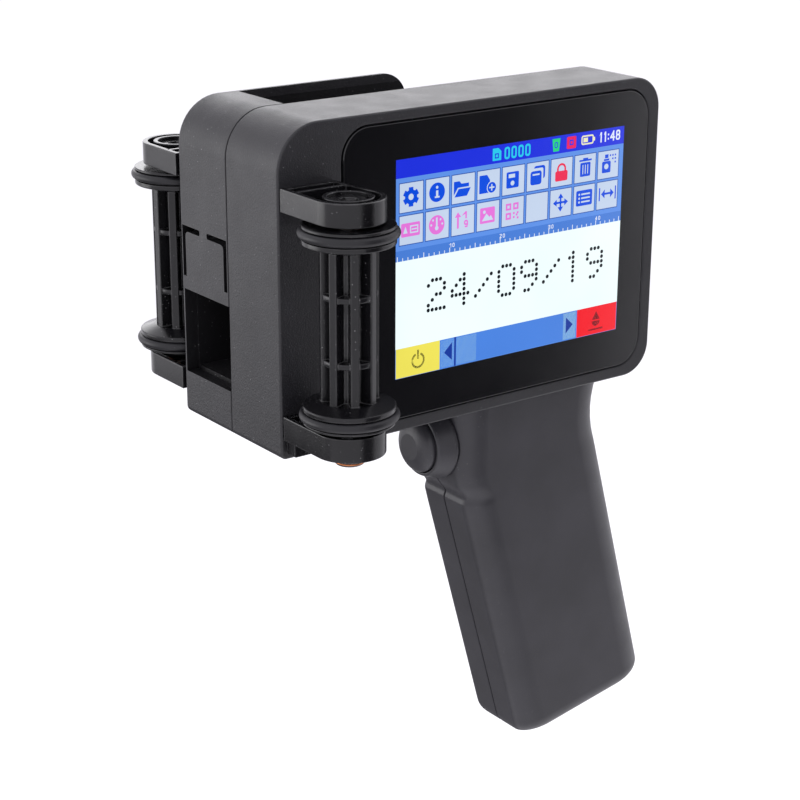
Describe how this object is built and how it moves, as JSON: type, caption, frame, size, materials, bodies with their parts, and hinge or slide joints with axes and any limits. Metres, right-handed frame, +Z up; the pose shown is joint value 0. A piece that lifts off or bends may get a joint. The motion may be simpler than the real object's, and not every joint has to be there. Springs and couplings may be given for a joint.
{
  "type": "handheld date code inkjet printer",
  "caption": "Handheld inkjet coder: slab housing with touch display, open cartridge bay behind, guide rollers on arms beside the print face, raked pistol handle with a finger trigger.",
  "frame": {"origin": "the middle of the palm on the handle, in its middle plane, which is the joint of its two halves", "axes": "+X from the print face along the display towards the handle's back, +Y from the display towards the cartridge bay, +Z up with the housing upright"},
  "size_m": [0.1316, 0.0955, 0.1815],
  "materials": {
    "shell": "fine matte moulded black",
    "grip": "satin dark grey",
    "moulding": "satin black",
    "rubber": "plain black",
    "glass": "black bordered cover glass",
    "screen": "lit display",
    "board": "green solder mask",
    "steel": "bright",
    "bronze": "sintered bronze",
    "magnet": "black ferrite",
    "cell": "film-wrapped metal can"
  },
  "bodies": {
    "housing": {"front_shell": "shell", "rear_shell": "shell", "partition_plate": "shell", "touch_glass": "glass", "display_module": "screen", "main_board": "board", "usb_socket": "steel", "charge_socket": "steel", "power_switch": "moulding", "contact_block": "moulding", "cartridge_spring": "steel", "partition_screw_1": "steel", "partition_screw_2": "steel", "partition_screw_3": "steel", "partition_screw_4": "steel", "saddle_screw_1": "steel", "saddle_screw_2": "steel", "front_upper_arm": "moulding", "front_lower_arm": "moulding", "front_upper_bush": "bronze", "front_lower_bush": "bronze", "encoder_sensor": "board", "rear_upper_arm": "moulding", "rear_lower_arm": "moulding", "rear_upper_bush": "bronze", "rear_lower_bush": "bronze", "handle_front_half": "grip", "handle_rear_half": "grip", "handle_screw_1": "steel", "handle_screw_2": "steel", "handle_screw_3": "steel", "grip_bolt_1": "steel", "grip_bolt_2": "steel", "battery_cell_1": "cell", "battery_cell_2": "cell", "battery_board": "board", "trigger_collar": "grip", "trigger_spring": "steel", "trigger_switch": "moulding"},
    "front_roller_body": {"front_roller": "moulding", "front_lower_oring": "rubber", "front_upper_oring": "rubber", "front_shaft": "steel", "front_shaft_cap": "moulding", "encoder_magnet": "magnet"},
    "rear_roller_body": {"rear_roller": "moulding", "rear_lower_oring": "rubber", "rear_upper_oring": "rubber", "rear_shaft": "steel"},
    "trigger": {"trigger_button": "grip"},
    "power_key": {"power_button": "moulding"}
  },
  "joints": [
    {"name": "front_roller_spin", "type": "hinge", "parent": "housing", "child": "front_roller_body", "pos_m": [-0.0834, -0.0361, 0.08063], "axis": [0, 0, 1], "continuous": true},
    {"name": "rear_roller_spin", "type": "hinge", "parent": "housing", "child": "rear_roller_body", "pos_m": [-0.0834, 0.0368, 0.08063], "axis": [0, 0, 1], "continuous": true},
    {"name": "trigger_press", "type": "slide", "parent": "housing", "child": "trigger", "axis": [1, 0, 0], "range_m": [0, 0.0025], "stiffness_N_per_m": 600, "springref_m": -0.002, "deforming": ["trigger_spring"]},
    {"name": "power_press", "type": "slide", "parent": "housing", "child": "power_key", "axis": [-1, 0, 0], "range_m": [0, 0.0008], "stiffness_N_per_m": 1500, "springref_m": -0.0005}
  ]
}
